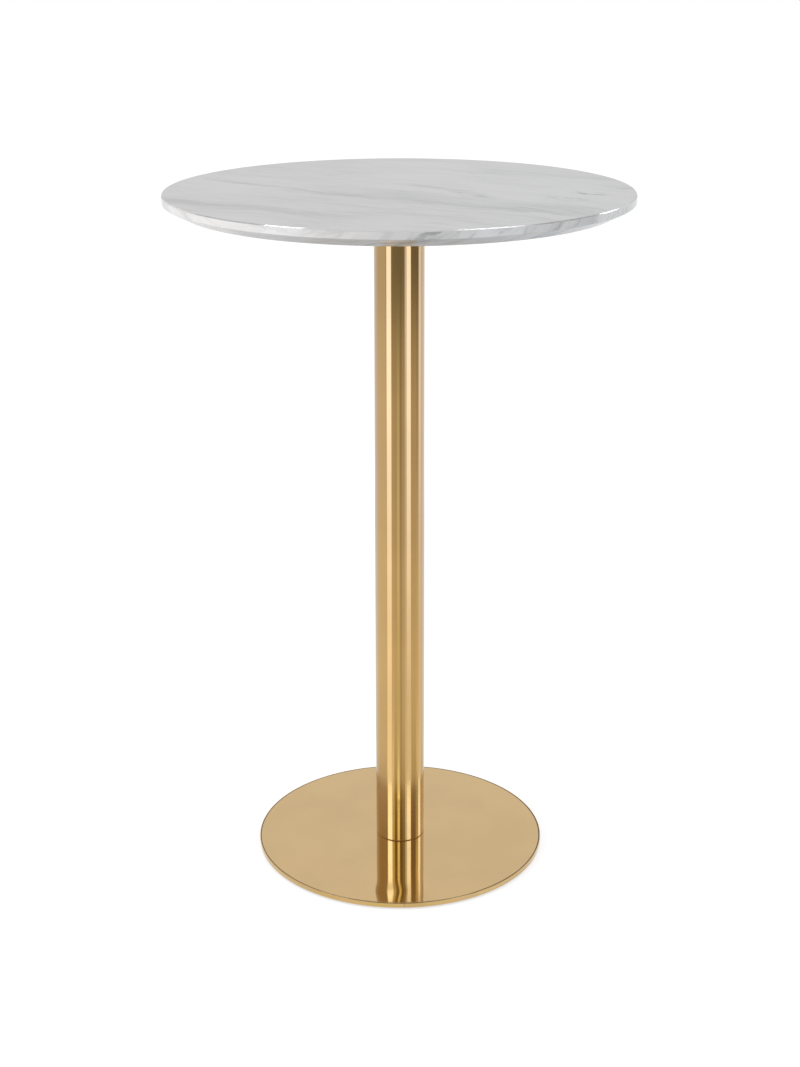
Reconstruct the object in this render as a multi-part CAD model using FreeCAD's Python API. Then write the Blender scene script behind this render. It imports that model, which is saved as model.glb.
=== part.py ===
import FreeCAD, Part
import math
import os

# Millimetres. The floor is z = 0, the column stands on the Z axis, the front faces -Y.

# Overall sizes
table_height = 1050.0
top_diameter = 700.0
column_diameter = 76.0
base_diameter = 450.0

# Stone top
stone_thickness = 25.0
stone_edge_height = 12.0
stone_bevel_width = 25.0
stone_upper_arris = 1.2
stone_lower_arris = 0.6

# Brass-coloured tube and sheet
tube_wall = 1.5
sheet_thickness = 1.0
rim_arris = 0.3
rim_seam_gap = 0.4
rim_seam_angle = -88.3

# Base plate and the hub that centres the column on it
base_plate_thickness = 6.0
hub_screw_thread = 8.0
hub_screw_engagement = 10.0
hub_screw_key = 5.0
hub_roof = 6.0

# Head of the column
mount_diameter = 320.0
mount_thickness = 5.0
mount_edge = 2.0
cup_wall = 3.0
cup_floor = 6.0

# Tie rod through the column
rod_thread = 12.0
rod_projection = 3.0
rod_headroom = 4.0
rod_chamfer = 1.0
lock_washer_thickness = 3.0
lock_washer_split = 2.0
washer_thickness = 2.5

# Bolts from the mounting plate into the stone
bolt_thread = 6.0
bolt_edge = 25.0
bolt_engagement = 9.0
bolt_washer_thickness = 1.6
pad_diameter = 28.0
pad_thickness = 2.0
insert_diameter = 10.0
insert_length = 12.0

# Levelling feet
foot_height = 3.0
foot_diameter = 30.0
foot_inset = 30.0
stud_thread = 8.0
stud_headroom = 0.5
stud_key = 4.0
stud_flange_diameter = 16.0
key_hole_diameter = 7.0

# Proportions of nuts, bolt heads and washers to their thread
hex_flats_ratio = 1.5
nut_height_ratio = 0.83
jam_nut_height_ratio = 0.5
bolt_head_ratio = 0.67
countersunk_head_ratio = 2.0
washer_ratio = 2.0
lock_washer_ratio = 1.7
key_depth_ratio = 0.7

# Shares of a foot's height
foot_web_share = 0.33
foot_flange_share = 0.45

# How closely an edge's radius and level must agree to be picked out
edge_match = 0.01

# Clearances
thread_gap = 0.1
slide_gap = 0.15
glue_gap = 0.1
resin_gap = 0.3
hole_gap = 0.5
swivel_gap = 0.3
head_sink = 0.3
tip_room = 2.0
snap_overlap = 0.6

# Levels that follow
plate_bottom = foot_height
plate_top = plate_bottom + base_plate_thickness
cover_top = plate_top + sheet_thickness
stone_bottom = table_height - stone_thickness
mount_top = stone_bottom - pad_thickness
mount_bottom = mount_top - mount_thickness
rod_top = mount_top - rod_headroom
nut_top = rod_top - rod_projection
nut_bottom = nut_top - nut_height_ratio * rod_thread
lock_washer_bottom = nut_bottom - lock_washer_thickness
washer_bottom = lock_washer_bottom - washer_thickness
cup_bottom = washer_bottom - cup_floor
hub_hole_top = plate_top + hub_screw_engagement + tip_room
hub_top = hub_hole_top + hub_roof
foot_web = foot_web_share * foot_height
foot_flange_top = foot_web + foot_flange_share * foot_height

# Radii that follow
top_radius = top_diameter / 2
tube_radius = column_diameter / 2
bore_radius = tube_radius - tube_wall
spigot_radius = bore_radius - slide_gap
cup_radius = spigot_radius - cup_wall
skin_radius = base_diameter / 2
plate_radius = skin_radius - sheet_thickness - glue_gap
rod_radius = rod_thread / 2
hub_screw_circle = (rod_radius + spigot_radius) / 2
bolt_circle = mount_diameter / 2 - bolt_edge
foot_circle = skin_radius - foot_inset

# Bearings of the fasteners and feet, in degrees from +X
quarter_angles = (45, 135, 225, 315)
foot_angles = {
    "rear_right": 45,
    "rear_left": 135,
    "front_left": 225,
    "front_right": 315,
}


def place(radius, angle):
    turn = math.radians(angle)
    return (radius * math.cos(turn), radius * math.sin(turn))


def disc(radius, bottom, top, at=(0, 0)):
    return Part.makeCylinder(radius, top - bottom, FreeCAD.Vector(at[0], at[1], bottom))


def ring(outer, inner, bottom, top, at=(0, 0)):
    return disc(outer, bottom, top, at).cut(disc(inner, bottom, top, at))


def hexagon(flats, bottom, top, at=(0, 0)):
    corner = flats / math.sqrt(3)
    points = []
    for k in range(7):
        x, y = place(corner, 60 * k)
        points.append(FreeCAD.Vector(at[0] + x, at[1] + y, bottom))
    return Part.Face(Part.makePolygon(points)).extrude(FreeCAD.Vector(0, 0, top - bottom))


# A closed outline of (radius, height) points turned about an upright axis
def turned(outline, at=(0, 0)):
    points = [FreeCAD.Vector(at[0] + r, at[1], z) for r, z in outline]
    face = Part.Face(Part.makePolygon(points + points[:1]))
    return face.revolve(FreeCAD.Vector(at[0], at[1], 0), FreeCAD.Vector(0, 0, 1), 360)


# The circular edges of a turned piece at one level and radius
def circles(shape, radius, level):
    found = []
    for edge in shape.Edges:
        if not isinstance(edge.Curve, Part.Circle):
            continue
        off_radius = abs(edge.Curve.Radius - radius)
        off_level = abs(edge.Curve.Center.z - level)
        if max(off_radius, off_level) < edge_match:
            found.append(edge)
    return found


# One solid for each quarter bearing, kept apart in one group
def four(make, radius):
    return Part.makeCompound([make(place(radius, angle)) for angle in quarter_angles])


# Stone slab: upright edge above, wide bevel cut away below, blind holes for the sleeves
def marble_top():
    edge_bottom = table_height - stone_edge_height
    under_radius = top_radius - stone_bevel_width
    slab = turned([
        (0, stone_bottom),
        (under_radius, stone_bottom),
        (top_radius, edge_bottom),
        (top_radius, table_height),
        (0, table_height),
    ])
    lower = circles(slab, top_radius, edge_bottom) + circles(slab, under_radius, stone_bottom)
    slab = slab.makeFillet(stone_lower_arris, lower)
    slab = slab.makeFillet(stone_upper_arris, circles(slab, top_radius, table_height))
    hole_radius = insert_diameter / 2 + resin_gap
    hole_top = stone_bottom + insert_length + resin_gap
    return slab.cut(four(lambda at: disc(hole_radius, stone_bottom, hole_top, at), bolt_circle))


def stone_insert(at):
    bore = bolt_thread / 2 + thread_gap
    return ring(insert_diameter / 2, bore, stone_bottom, stone_bottom + insert_length, at)


def plate_pad(at):
    return ring(pad_diameter / 2, bolt_thread / 2 + hole_gap, mount_top, stone_bottom, at)


# Round steel plate with rolled edge, a window over the cup and four bolt holes
def mounting_plate():
    plate = ring(mount_diameter / 2, cup_radius, mount_bottom, mount_top)
    rims = circles(plate, mount_diameter / 2, mount_bottom) + circles(plate, mount_diameter / 2, mount_top)
    plate = plate.makeFillet(mount_edge, rims)
    hole_radius = bolt_thread / 2 + hole_gap
    return plate.cut(four(lambda at: disc(hole_radius, mount_bottom, mount_top, at), bolt_circle))


# Cup that fills the head of the tube and takes the pull of the tie rod on its floor
def centring_cup():
    hole_radius = rod_radius + hole_gap
    return turned([
        (hole_radius, cup_bottom),
        (spigot_radius, cup_bottom),
        (spigot_radius, mount_bottom),
        (cup_radius, mount_bottom),
        (cup_radius, washer_bottom),
        (hole_radius, washer_bottom),
    ])


def plate_washer(at):
    outer = washer_ratio * bolt_thread / 2
    return ring(outer, bolt_thread / 2 + hole_gap, mount_bottom - bolt_washer_thickness, mount_bottom, at)


def plate_bolt(at):
    head_top = mount_bottom - bolt_washer_thickness
    head_bottom = head_top - bolt_head_ratio * bolt_thread
    head = hexagon(hex_flats_ratio * bolt_thread, head_bottom, head_top, at)
    return head.fuse(disc(bolt_thread / 2, head_top, stone_bottom + bolt_engagement, at))


def tie_rod():
    rod_bottom = plate_top + tip_room
    return turned([
        (0, rod_bottom),
        (rod_radius - rod_chamfer, rod_bottom),
        (rod_radius, rod_bottom + rod_chamfer),
        (rod_radius, rod_top - rod_chamfer),
        (rod_radius - rod_chamfer, rod_top),
        (0, rod_top),
    ])


def rod_nut(bottom, height_ratio):
    top = bottom + height_ratio * rod_thread
    nut = hexagon(hex_flats_ratio * rod_thread, bottom, top)
    return nut.cut(disc(rod_radius + thread_gap, bottom, top))


def tie_rod_washer():
    outer = washer_ratio * rod_radius
    return ring(outer, rod_radius + hole_gap, washer_bottom, lock_washer_bottom)


# Split ring pressed flat under the nut
def tie_rod_lock_washer():
    outer = lock_washer_ratio * rod_radius
    washer = ring(outer, rod_radius + hole_gap, lock_washer_bottom, nut_bottom)
    corner = FreeCAD.Vector(0, -lock_washer_split / 2, lock_washer_bottom)
    return washer.cut(Part.makeBox(outer * 2, lock_washer_split, lock_washer_thickness, corner))


def column_tube():
    return ring(tube_radius, bore_radius, cover_top, mount_bottom)


# Sheet disc with a window for the hub, so the tube's end lands on the sheet
def base_cover():
    return ring(plate_radius, spigot_radius + glue_gap, plate_top, cover_top)


# Strip bent round the plate's edge, its ends meeting in a butt seam near the front
def rim_band():
    band = ring(skin_radius, skin_radius - sheet_thickness, plate_bottom, cover_top)
    edges = circles(band, skin_radius, plate_bottom) + circles(band, skin_radius, cover_top)
    band = band.makeFillet(rim_arris, edges)
    corner = FreeCAD.Vector(skin_radius - 2 * sheet_thickness, -rim_seam_gap / 2, plate_bottom)
    seam = Part.makeBox(4 * sheet_thickness, rim_seam_gap, cover_top - plate_bottom, corner)
    seam.rotate(FreeCAD.Vector(0, 0, 0), FreeCAD.Vector(0, 0, 1), rim_seam_angle)
    return band.cut(seam)


# Outline of a countersunk screw, wider all round by a gap for the hole that takes it
def countersunk(gap, bottom, tip, at):
    shank = hub_screw_thread / 2 + gap
    head = countersunk_head_ratio * hub_screw_thread / 2 + gap
    return turned([
        (0, bottom),
        (head, bottom),
        (shank, bottom + head - shank),
        (shank, tip),
        (0, tip),
    ], at)


# Steel disc with countersunk holes for the hub screws and tapped holes for the feet
def base_plate():
    plate = disc(plate_radius, plate_bottom, plate_top)
    stud_hole = stud_thread / 2 + thread_gap
    plate = plate.cut(four(lambda at: disc(stud_hole, plate_bottom, plate_top, at), foot_circle))
    head = countersunk_head_ratio * hub_screw_thread / 2 + thread_gap
    sink_top = plate_bottom + head_sink
    plate = plate.cut(four(lambda at: disc(head, plate_bottom, sink_top, at), hub_screw_circle))
    return plate.cut(four(lambda at: countersunk(thread_gap, sink_top, plate_top, at), hub_screw_circle))


def base_hub():
    hub = ring(spigot_radius, rod_radius + thread_gap, plate_top, hub_top)
    hole = hub_screw_thread / 2 + thread_gap
    return hub.cut(four(lambda at: disc(hole, plate_top, hub_hole_top, at), hub_screw_circle))


def hub_screw(at):
    head_bottom = plate_bottom + head_sink
    screw = countersunk(0, head_bottom, plate_top + hub_screw_engagement, at)
    key_top = head_bottom + key_depth_ratio * hub_screw_key
    return screw.cut(hexagon(hub_screw_key, head_bottom, key_top, at))


# Nylon glide: a web under the stud's flange, a snap lip over it, a hole for the key
def foot_pad(at):
    recess_radius = stud_flange_diameter / 2 + swivel_gap
    lip_radius = stud_flange_diameter / 2 - snap_overlap
    lip_bottom = foot_flange_top + thread_gap
    pad = disc(foot_diameter / 2, 0, foot_height, at)
    pad = pad.cut(disc(key_hole_diameter / 2, 0, foot_web, at))
    pad = pad.cut(disc(recess_radius, foot_web, lip_bottom, at))
    return pad.cut(disc(lip_radius, lip_bottom, foot_height, at))


# Threaded stud with a flange held in the glide and a socket for the key
def foot_stud(at):
    flange = disc(stud_flange_diameter / 2, foot_web, foot_flange_top, at)
    stud = flange.fuse(disc(stud_thread / 2, foot_flange_top, plate_top - stud_headroom, at))
    key_top = foot_web + key_depth_ratio * stud_key
    return stud.cut(hexagon(stud_key, foot_web, key_top, at))


os.makedirs("parts", exist_ok=True)
nodes = {
    "marble_top": marble_top(),
    "stone_inserts": four(stone_insert, bolt_circle),
    "plate_pads": four(plate_pad, bolt_circle),
    "mounting_plate": mounting_plate(),
    "centring_cup": centring_cup(),
    "plate_washers": four(plate_washer, bolt_circle),
    "plate_bolts": four(plate_bolt, bolt_circle),
    "tie_rod": tie_rod(),
    "tie_rod_nut": rod_nut(nut_bottom, nut_height_ratio),
    "tie_rod_lock_washer": tie_rod_lock_washer(),
    "tie_rod_washer": tie_rod_washer(),
    "tie_rod_jam_nut": rod_nut(hub_top, jam_nut_height_ratio),
    "column_tube": column_tube(),
    "base_cover": base_cover(),
    "rim_band": rim_band(),
    "base_plate": base_plate(),
    "base_hub": base_hub(),
    "hub_screws": four(hub_screw, hub_screw_circle),
}
for corner_name, angle in foot_angles.items():
    nodes["foot_pad_" + corner_name] = foot_pad(place(foot_circle, angle))
    nodes["foot_stud_" + corner_name] = foot_stud(place(foot_circle, angle))

for name, shape in nodes.items():
    shape.exportStep("parts/" + name + ".step")
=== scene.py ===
import math

import bpy
from mathutils import Matrix, Vector


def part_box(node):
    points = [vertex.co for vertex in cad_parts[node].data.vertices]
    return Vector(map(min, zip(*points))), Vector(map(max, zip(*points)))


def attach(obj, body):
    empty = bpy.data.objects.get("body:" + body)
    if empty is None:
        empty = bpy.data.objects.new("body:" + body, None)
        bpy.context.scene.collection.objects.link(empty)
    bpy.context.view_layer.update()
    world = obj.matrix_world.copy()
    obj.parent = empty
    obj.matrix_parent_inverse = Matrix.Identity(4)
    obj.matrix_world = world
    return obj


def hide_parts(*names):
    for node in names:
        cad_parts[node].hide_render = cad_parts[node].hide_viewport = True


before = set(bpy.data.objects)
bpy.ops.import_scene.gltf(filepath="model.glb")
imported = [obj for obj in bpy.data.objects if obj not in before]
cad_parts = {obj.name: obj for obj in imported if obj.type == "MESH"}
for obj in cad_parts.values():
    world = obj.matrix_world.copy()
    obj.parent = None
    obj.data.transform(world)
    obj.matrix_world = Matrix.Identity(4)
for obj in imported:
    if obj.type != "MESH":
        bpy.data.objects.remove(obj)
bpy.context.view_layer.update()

mm = 0.001  # lengths are in m, angles in degrees
smoothAngle = math.radians(35)  # faces that meet at less than this shade as one
beyond = 1 * mm  # how far a cutter sticks out of what it cuts
samePlace = 1e-7  # m, points nearer than this are the same
weldReach = 1e-6  # m, for meshes made by spinning
mendReach = 2e-6  # m, for meshes made by joining and cutting
cutReach = 1e-8  # m, fine enough for the small threads


# modelling helpers

def enter(mode):
    bpy.ops.object.mode_set(mode=mode)


def selectAll():
    bpy.ops.mesh.select_all(action="SELECT")


def freshStart():
    if bpy.context.object and bpy.context.object.mode != "OBJECT":
        enter("OBJECT")
    bpy.ops.object.select_all(action="DESELECT")


def nameIt(name):
    piece = bpy.context.object
    piece.name = name
    piece.data.name = name
    return piece


def pick(piece, test):
    # selects the points that pass the test and leaves the piece in edit mode
    enter("EDIT")
    bpy.ops.mesh.select_mode(type="VERT")
    bpy.ops.mesh.select_all(action="DESELECT")
    enter("OBJECT")
    for vert in piece.data.vertices:
        vert.select = test(vert.co)
    enter("EDIT")


def roundCorner(before, corner, after, radius, parts):
    # arc of points that takes the place of a corner in an outline
    toBefore = (Vector(before) - Vector(corner)).normalized()
    toAfter = (Vector(after) - Vector(corner)).normalized()
    half = toBefore.angle(toAfter) / 2
    reach = radius / math.tan(half)
    centre = Vector(corner) + (toBefore + toAfter).normalized() * (radius / math.sin(half))
    start = Vector(corner) + toBefore * reach - centre
    end = Vector(corner) + toAfter * reach - centre
    turn = start.angle_signed(end)
    return [tuple(centre + Matrix.Rotation(-turn * k / parts, 2) @ start) for k in range(parts + 1)]


def softened(outline, roundings, beside=0.5 * mm):
    # outline of (radius, height) points with some corners rounded, {index: (radius, parts)};
    # a point a little way beside each rounding keeps the flats flat in shading
    points = []
    for k, point in enumerate(outline):
        if k in roundings:
            before, after = outline[k - 1], outline[(k + 1) % len(outline)]
            arc = roundCorner(before, point, after, *roundings[k])
            back = (Vector(before) - Vector(point)).normalized() * beside
            ahead = (Vector(after) - Vector(point)).normalized() * beside
            points += [tuple(Vector(arc[0]) + back), *arc, tuple(Vector(arc[-1]) + ahead)]
        else:
            points.append(tuple(point))
    return points


def startPoint(name, x, z):
    # new piece of a single point, in edit mode
    freshStart()
    bpy.ops.mesh.primitive_plane_add(size=mm, location=(0, 0, 0))
    piece = nameIt(name)
    enter("EDIT")
    bpy.ops.mesh.merge(type="CENTER")
    bpy.ops.transform.translate(value=(x, 0, z))
    return piece


def drawOn(x, z):
    # one more edge, by so much from the last point
    bpy.ops.mesh.extrude_region_move(TRANSFORM_OT_translate={"value": (x, 0, z)})


def spinPiece(name, outline, steps, closed=True):
    # draws the outline edge by edge, then spins it about an upright axis
    first, last = outline[0], outline[-1]
    piece = startPoint(name, *first)
    for here, there in zip(outline, outline[1:]):
        drawOn(there[0] - here[0], there[1] - here[1])
    touchesAxis = first[0] == 0 and last[0] == 0
    if closed and not touchesAxis:
        ends = (Vector((first[0], 0, first[1])), Vector((last[0], 0, last[1])))
        pick(piece, lambda co: min((co - end).length for end in ends) < samePlace)
        bpy.ops.mesh.edge_face_add()
    selectAll()
    bpy.ops.mesh.spin(steps=steps, angle=2 * math.pi, center=(0, 0, 0), axis=(0, 0, 1))
    selectAll()
    bpy.ops.mesh.remove_doubles(threshold=weldReach)
    bpy.ops.mesh.normals_make_consistent(inside=False)
    enter("OBJECT")
    bpy.ops.object.shade_smooth_by_angle(angle=smoothAngle)
    return piece


def shaped(piece, other, operation):
    # joins the other shape to the piece, takes it out or keeps what they share, then throws it away
    freshStart()
    bpy.context.view_layer.objects.active = piece
    piece.select_set(True)
    bpy.ops.object.modifier_add(type="BOOLEAN")
    boolean = piece.modifiers[-1]
    boolean.operation = operation
    boolean.solver = "EXACT"
    boolean.object = other
    bpy.ops.object.modifier_apply(modifier=boolean.name)
    bpy.data.objects.remove(other)
    enter("EDIT")
    selectAll()
    bpy.ops.mesh.remove_doubles(threshold=mendReach)
    bpy.ops.mesh.dissolve_degenerate(threshold=mendReach)
    selectAll()
    bpy.ops.mesh.normals_make_consistent(inside=False)
    enter("OBJECT")
    bpy.ops.object.shade_smooth_by_angle(angle=smoothAngle)


def hexPrism(name, flats, low, high):
    freshStart()
    bpy.ops.mesh.primitive_cylinder_add(vertices=6, radius=flats / math.sqrt(3), depth=high - low,
                                        location=(0, 0, (low + high) / 2))
    prism = nameIt(name)
    bpy.ops.object.transform_apply(location=True, rotation=False, scale=False)
    return prism


threadShape = {
    "flank": 0.40,  # of the pitch
    "flat": 0.10,
    "spareTurns": 2,  # at each end, cut off later
    "steps": 32,
}


def makeThread(name, radius, root, pitch, low, high):
    # one ridge drawn edge by edge, screwed upwards and cut off flat at both ends
    flank, flat = threadShape["flank"] * pitch, threadShape["flat"] * pitch
    thread = startPoint(name, root, low - threadShape["spareTurns"] * pitch)
    for out, up in ((radius - root, flank), (0, flat), (root - radius, flank), (0, flat)):
        drawOn(out, up)
    enter("OBJECT")
    bpy.ops.object.modifier_add(type="SCREW")
    screw = thread.modifiers[-1]
    screw.screw_offset = pitch
    screw.iterations = math.ceil((high - low) / pitch) + 2 * threadShape["spareTurns"]
    screw.steps = threadShape["steps"]
    screw.render_steps = threadShape["steps"]
    bpy.ops.object.modifier_apply(modifier=screw.name)
    enter("EDIT")
    selectAll()
    bpy.ops.mesh.remove_doubles(threshold=weldReach)
    for level, waste in ((low, "clear_inner"), (high, "clear_outer")):
        selectAll()
        bpy.ops.mesh.bisect(plane_co=(0, 0, level), plane_no=(0, 0, 1), use_fill=True, threshold=cutReach,
                            **{waste: True})
    selectAll()
    bpy.ops.mesh.normals_make_consistent(inside=False)
    enter("OBJECT")
    return thread


def copied(pattern, name, at):
    # copy with a mesh of its own, moved to its place
    freshStart()
    bpy.context.view_layer.objects.active = pattern
    pattern.select_set(True)
    bpy.ops.object.duplicate(linked=False)
    piece = nameIt(name)
    enter("EDIT")
    selectAll()
    bpy.ops.transform.translate(value=(at[0], at[1], 0))
    enter("OBJECT")
    return piece


def onCircle(radius, degrees):
    turn = math.radians(degrees)
    return radius * math.cos(turn), radius * math.sin(turn)


def fitted(piece, body, slotName, material, *nodes):
    piece.data.materials.clear()
    piece.data.materials.append(material)
    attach(piece, body)
    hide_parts(*nodes)


# shader helpers

class Socket:
    # one output socket, with sums written as plain arithmetic
    def __init__(self, tree, out):
        self.tree = tree
        self.out = out

    def maths(self, operation, *values):
        return addNode(self.tree, "ShaderNodeMath", {"operation": operation}, *values)

    def __add__(self, other):
        return self.maths("ADD", self, other)

    def __sub__(self, other):
        return self.maths("SUBTRACT", self, other)

    def __rsub__(self, other):
        return self.maths("SUBTRACT", other, self)

    def __mul__(self, other):
        return self.maths("MULTIPLY", self, other)

    def __truediv__(self, other):
        return self.maths("DIVIDE", self, other)

    def root(self):
        return self.maths("SQRT", self)

    __radd__ = __add__
    __rmul__ = __mul__


def addNode(tree, kind, settings=None, *values, output=0, **named):
    # settings go first, then each socket's value or link, by order or by name
    node = tree.nodes.new(kind)
    for key, value in (settings or {}).items():
        if key == "stops":
            bands = node.color_ramp
            while len(bands.elements) < len(value):
                bands.elements.new(1)
            for element, (place, colour) in zip(bands.elements, value):
                element.position = place
                element.color = (*colour, 1)
        else:
            setattr(node, key, value)
    pairs = list(zip(node.inputs, values))
    pairs += [(node.inputs[key.replace("_", " ")], value) for key, value in named.items()]
    for socket, value in pairs:
        if isinstance(value, Socket):
            tree.links.new(value.out, socket)
        elif value is not None:
            socket.default_value = value
    return Socket(tree, node.outputs[output]) if node.outputs else None


def newMaterial(name):
    material = bpy.data.materials.new(name)
    material.use_nodes = True
    tree = material.node_tree
    tree.nodes.clear()
    return material, tree


def finishMaterial(tree, **named):
    shader = addNode(tree, "ShaderNodeBsdfPrincipled", None, **named)
    addNode(tree, "ShaderNodeOutputMaterial", None, shader)


def placeOn(tree, turn=(0, 0, 0), scale=(1, 1, 1)):
    # spot on the piece, turned and scaled
    where = addNode(tree, "ShaderNodeTexCoord", output="Object")
    return addNode(tree, "ShaderNodeMapping", None, where, None, turn, scale)


def noise(tree, where, scale, detail, rough=0.55, twist=0.0):
    return addNode(tree, "ShaderNodeTexNoise", None, Vector=where, Scale=scale, Detail=detail,
                   Roughness=rough, Distortion=twist)


def axesOf(tree, where):
    # the three coordinates of a place
    node = addNode(tree, "ShaderNodeSeparateXYZ", None, where).out.node
    return [Socket(tree, out) for out in node.outputs]


def fromMiddle(x, y):
    return (x * x + y * y).root()


def ramp(tree, value, low, high):
    # 0 below low, 1 above high, eased between
    return addNode(tree, "ShaderNodeMapRange", {"interpolation_type": "SMOOTHSTEP"}, value, low, high, 0, 1)


def inZone(tree, value, begin, end):
    # 1 between the two ramps, 0 outside them
    return ramp(tree, value, *begin) * (1 - ramp(tree, value, *end))


def patchy(tree, where, scale, detail, rough, low, high):
    # noise that comes in between low and high
    return ramp(tree, noise(tree, where, scale, detail, rough), low, high)


def sway(tree, where, scale, detail, reach):
    # noise that swings to both sides of zero
    return (noise(tree, where, scale, detail) - 0.5) * reach


def blend(tree, amount, first, second):
    # colour between first and second; a colour mix has sockets 0, 6 and 7 for these and 2 for the result
    node = tree.nodes.new("ShaderNodeMix")
    node.data_type = "RGBA"
    for socket, value in ((node.inputs[0], amount), (node.inputs[6], first), (node.inputs[7], second)):
        if isinstance(value, Socket):
            tree.links.new(value.out, socket)
        elif isinstance(value, tuple):
            socket.default_value = (*value, 1)
        else:
            socket.default_value = value
    return Socket(tree, node.outputs[2])


def bump(tree, height, distance, strength=1.0):
    return addNode(tree, "ShaderNodeBump", None, Strength=strength, Distance=distance, Height=height)


# materials

marbleLook = {
    "warmPale": (0.745, 0.730, 0.733),
    "coolPale": (0.740, 0.743, 0.746),
    "edgeCool": (0.716, 0.745, 0.752),
    # painted light: the left part of the upright edge is painted lighter
    "paintedEdgeLight": (0.825, 0.815, 0.810),
    # painted shade: the down-facing bevel on the left is painted warmer and a little darker
    "paintedBevelShade": (0.730, 0.722, 0.690),
    "cloud": (0.628, 0.630, 0.638),
    "coolStreak": (0.400, 0.410, 0.425),
    "warmStreak": (0.455, 0.420, 0.405),
    "paintedArrisShade": (0.560, 0.565, 0.570),  # painted shade: the chamfer is painted darker than the polished faces
    "paintedArrisShadeDark": (0.300, 0.300, 0.305),  # and painted darker still to the left and right
    "flowTurn": 30,  # degrees, the streaks come forward to the right
    "lean": -0.55,  # how far the streak sheets lean with depth
    "endLean": -0.75,  # the streaks' ends lean more on the sawn edge
    "level": 1.05,  # m, height of the face, where the veins below are placed
    "roughFrom": 0.07,
    "roughTo": 0.13,
    "refraction": 1.5,
}
marbleGrain = {
    # texture scale along the flow, across it and down
    "broadStretch": (3.2, 22, 4),
    "fineStretch": (9, 95, 12),
    "fleckStretch": (42, 150, 40),
    "endStretch": (14, 88, 20),
    # noise scale, detail and reach in m
    "wobble": (8, 3, 0.050),
    "ripple": (38, 4, 0.020),
    "swirl": (4, 2, 0.11),
    "tintSway": (5, 2, 0.3),
    # noise scale, detail, roughness, and the levels between which it comes in
    "broad": (1.0, 5, 0.6, 0.44, 0.74),
    "fine": (1.0, 4, 0.6, 0.50, 0.70),
    "patches": (3.1, 2, 0.55, 0.36, 0.64),
    "clots": (2.3, 4, 0.65, 0.60, 0.72),
    "broken": (1.6, 5, 0.7, 0.36, 0.64),
    "flecks": (1.0, 3, 0.6, 0.66, 0.74),
    "crumbs": (0.62, 4, 0.7, 0.47, 0.60),
    "warm": (7, 2, 0.55, 0.42, 0.60),
    # how much each counts
    "clotShare": 0.34,
    "fineShare": 0.08,
    "fineInPatches": 0.34,
    "fleckShare": 0.30,
    "unbroken": 0.25,
    "brokenShare": 0.95,
    "broadCloud": 0.60,
    "patchCloud": 0.38,
    # scale and detail of the noise in the polish, and its levels
    "polish": (60, 3),
    "polishSpan": (0.3, 0.7),
}
marbleEdge = {
    # begins and ends of ramps, in m down from the face, out from the middle, or to the right of it
    "edgeDown": (0.0012, 0.0024),
    "edgeOut": (0.3180, 0.3240),
    "bevelDown": (0.0112, 0.0122),
    "arrisDown": (0.0012, 0.0018),
    "arrisOut": (0.3482, 0.3488),
    "leftEnd": (-0.10, 0.03),
    "coolStart": (0.02, 0.16),
    "warmEnd": (-0.20, 0.06),
    "tint": (-0.24, 0.26),
    "moreEnds": (-0.14, 0.02),
    "fewerEnds": (0.06, 0.16),
    "crowdStart": (-0.040, 0.000),
    "crowdEnd": (0.045, 0.080),
    # where the painted shade on the chamfer is darker still, to the left and to the right
    "sideShadeStart": (0.165, 0.195),
    "sideShadeEnd": (0.250, 0.310),
    # noise of the streaks' ends, and the levels between which they come in
    "endNoise": (1.0, 5, 0.62, 0.4),
    "ends": (0.51, 0.62),
    "crowded": (0.43, 0.52),
    # how much each counts
    "endShare": 0.16,
    "moreShare": 0.46,
    "fewerShare": 0.14,
    "crowdShare": 0.30,
    # how far the clouds clear under the painted light on the left edge
    "cleared": 0.5,
    "sideShadeShare": 0.5,
    "sideShadeBroken": 0.5,
}
veinFade = {"long": 0.05, "short": 0.02, "longFrom": 0.1}  # m
marbleVeins = {
    # m: place across the flow, bend, where it bends, start and end along the flow, sharp side, soft side;
    # then strength
    "long": (-0.087, 0.30, 0.05, -0.34, -0.02, 0.007, 0.020, 0.50),
    "longShade": (-0.086, 0.10, 0.05, -0.14, 0.36, 0.012, 0.095, 0.44),
    "branch": (0.046, -1.50, -0.03, -0.03, 0.14, 0.016, 0.030, 0.42),
    "left": (-0.250, 0.00, 0.00, -0.27, 0.06, 0.030, 0.040, 0.46),
    "back": (0.236, 0.25, -0.05, -0.04, 0.24, 0.034, 0.040, 0.22),
}
marbleKnots = {
    # crumbled clots, written the same way
    "rightKnot": (0.106, 0.00, 0.00, 0.236, 0.284, 0.024, 0.028, 1.05),
    "outerKnot": (0.190, 0.00, 0.00, 0.250, 0.300, 0.026, 0.030, 0.55),
    "lowKnot": (0.044, 0.00, 0.00, 0.220, 0.280, 0.026, 0.028, 0.70),
    "midKnot": (0.010, 0.00, 0.00, 0.075, 0.150, 0.020, 0.024, 0.50),
}


def textureWay(tree, along, across, depth, stretch):
    # place for a texture, stretched by its own factor each way
    return addNode(tree, "ShaderNodeCombineXYZ", None,
                   along * stretch[0], across * stretch[1], depth * stretch[2])


def makeVein(tree, along, across, place, bend, least, start, end, sharp, soft, strength):
    # a streak with one sharp and one soft side, faded at both ends
    off = along - least
    side = across - (place + off * off * bend)
    fade = veinFade["long"] if end - start > veinFade["longFrom"] else veinFade["short"]
    shown = inZone(tree, along, (start - fade, start + fade), (end - fade, end + fade))
    return ramp(tree, side, -sharp, 0) * (1 - ramp(tree, side, 0, soft)) * shown * strength


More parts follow.
